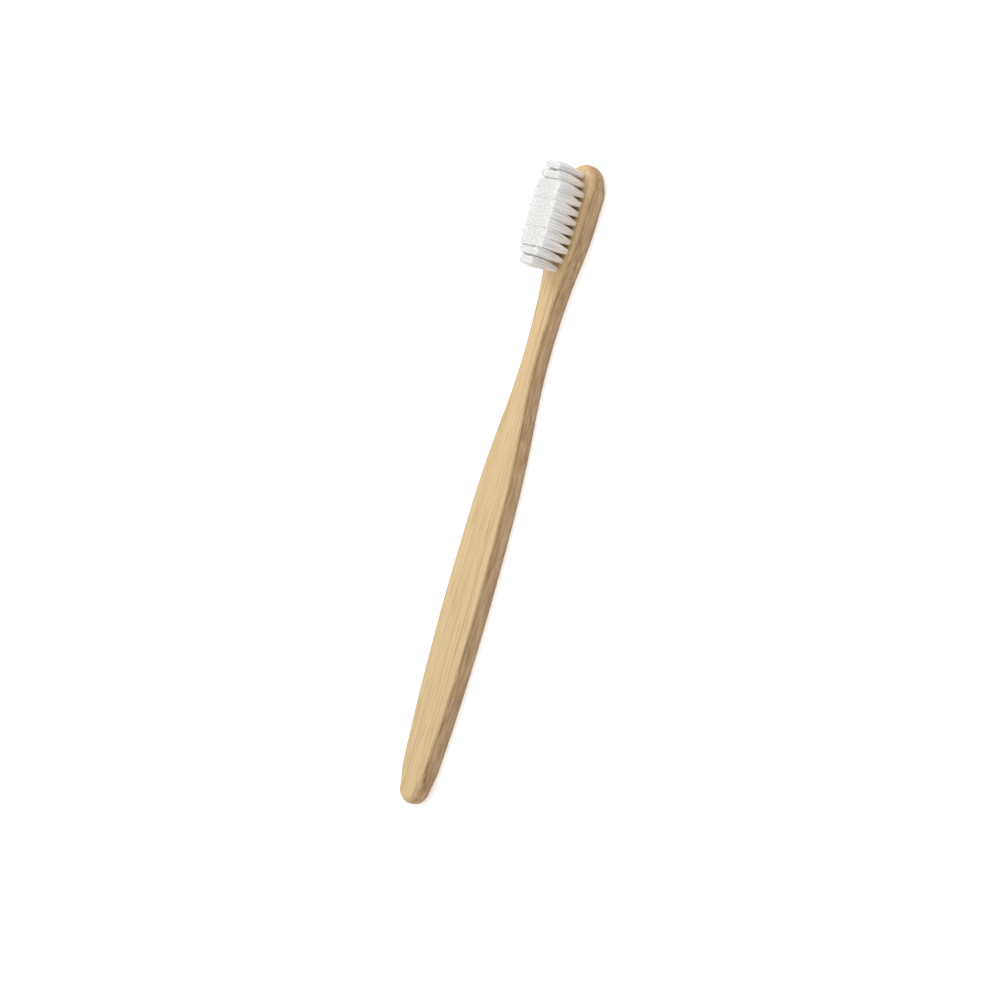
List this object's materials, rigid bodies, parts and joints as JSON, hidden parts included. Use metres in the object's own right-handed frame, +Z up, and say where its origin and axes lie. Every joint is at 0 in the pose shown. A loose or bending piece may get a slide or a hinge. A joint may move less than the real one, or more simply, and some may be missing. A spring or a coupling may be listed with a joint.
{
  "type": "manual toothbrush",
  "caption": "Flat waisted bamboo handle with a rounded head that carries a block of straight-trimmed nylon bristle tufts, for brushing teeth by hand.",
  "frame": {"origin": "on the surface that the brush lies on, under the middle of its length and width", "axes": "+X along the handle from the butt to the head's tip, +Y across its width, +Z up from its flat back, the way that the bristles point"},
  "size_m": [0.185, 0.015, 0.0162],
  "materials": {
    "bamboo": "sanded and lightly oiled, with fine fibres along its length",
    "nylon_bristles": "white translucent filaments with rounded ends",
    "anchor_metal": "bare flat wire, hidden in the holes"
  },
  "bodies": {
    "root": {"handle": "bamboo", "staple_anchors": "anchor_metal", "tuft_row01_1": "nylon_bristles", "tuft_row01_2": "nylon_bristles", "tuft_row02_1": "nylon_bristles", "tuft_row02_2": "nylon_bristles", "tuft_row02_3": "nylon_bristles", "tuft_row03_1": "nylon_bristles", "tuft_row03_2": "nylon_bristles", "tuft_row03_3": "nylon_bristles", "tuft_row03_4": "nylon_bristles", "tuft_row04_1": "nylon_bristles", "tuft_row04_2": "nylon_bristles", "tuft_row04_3": "nylon_bristles", "tuft_row04_4": "nylon_bristles", "tuft_row05_1": "nylon_bristles", "tuft_row05_2": "nylon_bristles", "tuft_row05_3": "nylon_bristles", "tuft_row05_4": "nylon_bristles", "tuft_row06_1": "nylon_bristles", "tuft_row06_2": "nylon_bristles", "tuft_row06_3": "nylon_bristles", "tuft_row06_4": "nylon_bristles", "tuft_row07_1": "nylon_bristles", "tuft_row07_2": "nylon_bristles", "tuft_row07_3": "nylon_bristles", "tuft_row07_4": "nylon_bristles", "tuft_row08_1": "nylon_bristles", "tuft_row08_2": "nylon_bristles", "tuft_row08_3": "nylon_bristles", "tuft_row08_4": "nylon_bristles", "tuft_row09_1": "nylon_bristles", "tuft_row09_2": "nylon_bristles", "tuft_row09_3": "nylon_bristles", "tuft_row09_4": "nylon_bristles", "tuft_row10_1": "nylon_bristles", "tuft_row10_2": "nylon_bristles", "tuft_row10_3": "nylon_bristles", "tuft_row11_1": "nylon_bristles", "tuft_row11_2": "nylon_bristles"}
  },
  "joints": []
}
